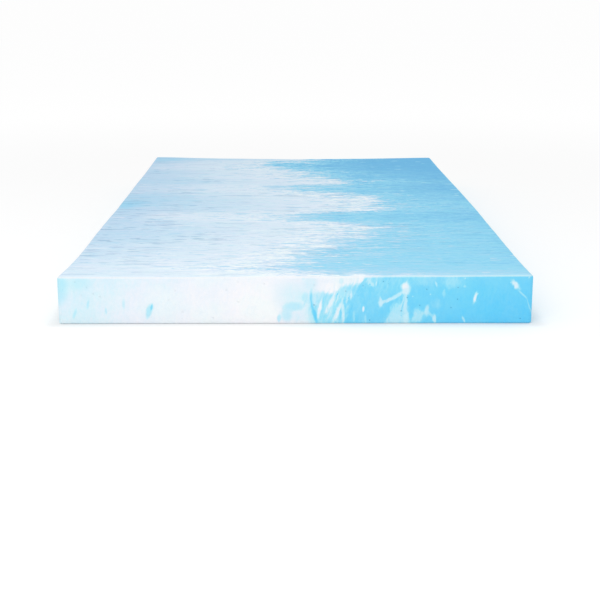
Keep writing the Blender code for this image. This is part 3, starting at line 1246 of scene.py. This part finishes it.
def make_gel_foam():
    """Matt foam: marbled colour that drifts a little between violet and green, with painted shade in its
    holes and tears, a painted sheen on the level cut and a painted highlight on the top edge, and with a
    bump of ripples, open cells and tears."""
    material = bpy.data.materials.new("gel_foam_marbled")
    material.use_nodes = True
    tree = material.node_tree
    shader = tree.nodes["Principled BSDF"].inputs
    shader["Specular IOR Level"].default_value = 0.08
    shader["Sheen Weight"].default_value = 0.04
    shader["Sheen Roughness"].default_value = 0.5
    here = node(tree, "TexCoord").outputs["Object"]

    top_edge = stored(tree, "top_edge")
    frayed = product(tree, place(tree, STREAKS, Vector=here, **EDGE_FRAY)["Value"], top_edge)
    level = rise(tree, moved(tree, stored(tree, "level_cut"), frayed, 0.15), 0.45, 0.95)
    top_gel, side_gel = gel_on_top(tree, here), gel_on_sides(tree, here, top_edge)
    # painted highlight: the level cut's gel grows paler on the rounding of the top edge
    top_gel = product(tree, top_gel, rise(tree, top_edge, 0.3, 1.0, 1.0, LEVEL_HIGHLIGHT_GEL))
    side_colour = colour_scale(tree, side_gel, UPRIGHT_CUT_COLOURS)
    colour = blend_colours(tree, level, side_colour, level_colour_with_sheen(tree, here, top_gel))
    drift = place(tree, STREAKS, Vector=here, **TINT_DRIFT)["Value"]
    tint = blend_colours(tree, rise(tree, drift, -0.8, 0.8), VIOLET_TINT, GREEN_TINT)
    colour = blend_colours(tree, 1.0, colour, tint, "MULTIPLY")
    cells = place(tree, OPEN_CELLS, Vector=here)
    # painted shade in the holes of the open cells
    holes = rise(tree, cells["Shade"], 0.0, 1.0, 0.5, 0.0)
    colour = blend_colours(tree, holes, colour, HOLE_PAINTED_SHADE, "MULTIPLY")
    torn = nicks_and_pores(tree, here, level)
    colour = painted_shade_where_torn(tree, colour, torn, level, side_gel, top_gel)
    tree.links.new(colour, shader["Base Color"])
    gel = between(tree, level, side_gel, top_gel)
    tree.links.new(rise(tree, gel, 0.1, 0.9, 0.92, 0.82), shader["Roughness"])
    bump = node(tree, "Bump", Strength=1.0, Distance=1.0, Height=foam_height(tree, here, cells, torn))
    tree.links.new(bump.outputs["Normal"], shader["Normal"])
    return material


gel_foam = make_gel_foam()
mesh.materials.append(gel_foam)
print("nodes in the material:", len(gel_foam.node_tree.nodes))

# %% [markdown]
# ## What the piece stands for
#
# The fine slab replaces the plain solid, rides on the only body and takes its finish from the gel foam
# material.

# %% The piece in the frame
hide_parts("foam_slab")
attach(topper, "root")

# %% [markdown]
# ## Floor, light and camera
#
# The slab lies on a white floor under soft studio light. The sky gives most of the light, and a wide
# softbox over the camera makes the near end brighter than the far end. Far from the slab the floor glows
# a little, as a lit backdrop does, so that it runs into the white sky with no line between. Right at the
# slab it glows least, so that a thin shadow shows where the slab touches it.

# %% The floor
FLOOR_RADIUS = 16.0
FLOOR_CORNERS = 96
FLOOR_WHITE = 0.78
BACKDROP_WHITE = 0.985
SKY_STRENGTH = 0.85
CONTACT_GLOW = 0.12
CONTACT_REACH = 0.04  # metres from the slab within which the floor glows less
NEAR_GLOW = 0.26
FAR_GLOW = BACKDROP_WHITE - FLOOR_WHITE * SKY_STRENGTH  # makes the lit floor as bright as the backdrop
FAR_FROM, FAR_TO = 0.1, 3.0  # metres from the slab between which the glow grows to that


def make_floor():
    """A round white floor at height 0. Its faint glow is the least right at the slab, which leaves the
    slab's own shadow there, and grows with the distance until the floor is as bright as the backdrop."""
    around = np.linspace(0.0, 2.0 * math.pi, FLOOR_CORNERS + 1)[:-1]
    ring = FLOOR_RADIUS * np.stack([np.cos(around), np.sin(around), np.zeros_like(around)], axis=1)
    floor_mesh = bpy.data.meshes.new("floor")
    floor_mesh.from_pydata(ring, [], [list(range(len(ring)))])
    made = bpy.data.objects.new("floor", floor_mesh)
    bpy.context.scene.collection.objects.link(made)
    paint = bpy.data.materials.new("floor_paint")
    paint.use_nodes = True
    tree = paint.node_tree
    shader = tree.nodes["Principled BSDF"].inputs
    shader["Base Color"].default_value = (FLOOR_WHITE, FLOOR_WHITE, FLOOR_WHITE, 1.0)
    shader["Roughness"].default_value = 0.9
    shader["Specular IOR Level"].default_value = 0.0
    here = node(tree, "TexCoord").outputs["Object"]
    past_side = calculate_vector(tree, "ABSOLUTE", here)
    past_side = calculate_vector(tree, "SUBTRACT", past_side, (WIDTH / 2, LENGTH / 2, 0.0))
    past_side = calculate_vector(tree, "MAXIMUM", past_side, (0.0, 0.0, 0.0))
    distance = node(tree, "VectorMath", past_side, operation="LENGTH").outputs["Value"]
    glow = rise(tree, distance, 0.0, CONTACT_REACH, CONTACT_GLOW, NEAR_GLOW)
    further = rise(tree, distance, FAR_FROM, FAR_TO, 0.0, FAR_GLOW - NEAR_GLOW)
    glow = calculate(tree, "ADD", glow, further)
    tree.links.new(node(tree, "CombineColor", glow, glow, glow).outputs[0], shader["Emission Color"])
    shader["Emission Strength"].default_value = 1.0
    floor_mesh.materials.append(paint)
    return made


floor = make_floor()
print("floor radius:", FLOOR_RADIUS, "m")

# %% The sky
scene = bpy.context.scene
world = bpy.data.worlds.new("studio")
scene.world = world
world.use_nodes = True
tree = world.node_tree
seen = node(tree, "LightPath").outputs["Is Camera Ray"]
lit = node(tree, "Background", (1.0, 1.0, 1.0, 1.0), SKY_STRENGTH).outputs[0]
shown = node(tree, "Background", (1.0, 1.0, 1.0, 1.0), BACKDROP_WHITE).outputs[0]
sky = node(tree, "MixShader", seen, lit, shown).outputs[0]
tree.links.new(sky, tree.nodes["World Output"].inputs["Surface"])
print("sky strength:", SKY_STRENGTH)

# %% The lights


def softbox(name, size, watts, location, aim):
    """A square area light at the location, turned to shine at the aim. The camera doesn't see it."""
    light = bpy.data.lights.new(name, "AREA")
    light.size = size
    light.energy = watts
    made = bpy.data.objects.new(name, light)
    bpy.context.scene.collection.objects.link(made)
    made.location = location
    away = np.array(location) - np.array(aim)
    turn = math.atan2(away[0], -away[1])
    tilt = math.atan2(math.hypot(away[0], away[1]), away[2])
    made.rotation_euler = Euler((tilt, 0.0, turn))
    made.visible_camera = False
    return made


softbox("key_softbox", size=2.4, watts=34.0, location=(-0.6, -3.4, 2.6), aim=(0.0, -0.6, 0.0))
scene.view_settings.view_transform = "Standard"
print("lights:", len(bpy.data.lights))

# %% The camera
CAMERA_PLACE = (-0.0063, -3.3742, 0.6587)
CAMERA_PITCH = math.radians(14.08)  # downwards
CAMERA_YAW = math.radians(0.36)  # towards +X
LENS_MM = 72.27
lens = bpy.data.cameras.new("camera")
lens.lens = LENS_MM
lens.sensor_width = 36.0
camera = bpy.data.objects.new("camera", lens)
scene.collection.objects.link(camera)
camera.location = CAMERA_PLACE
camera.rotation_euler = (math.pi / 2 - CAMERA_PITCH, 0.0, -CAMERA_YAW)
scene.camera = camera
print("lens:", LENS_MM, "mm")
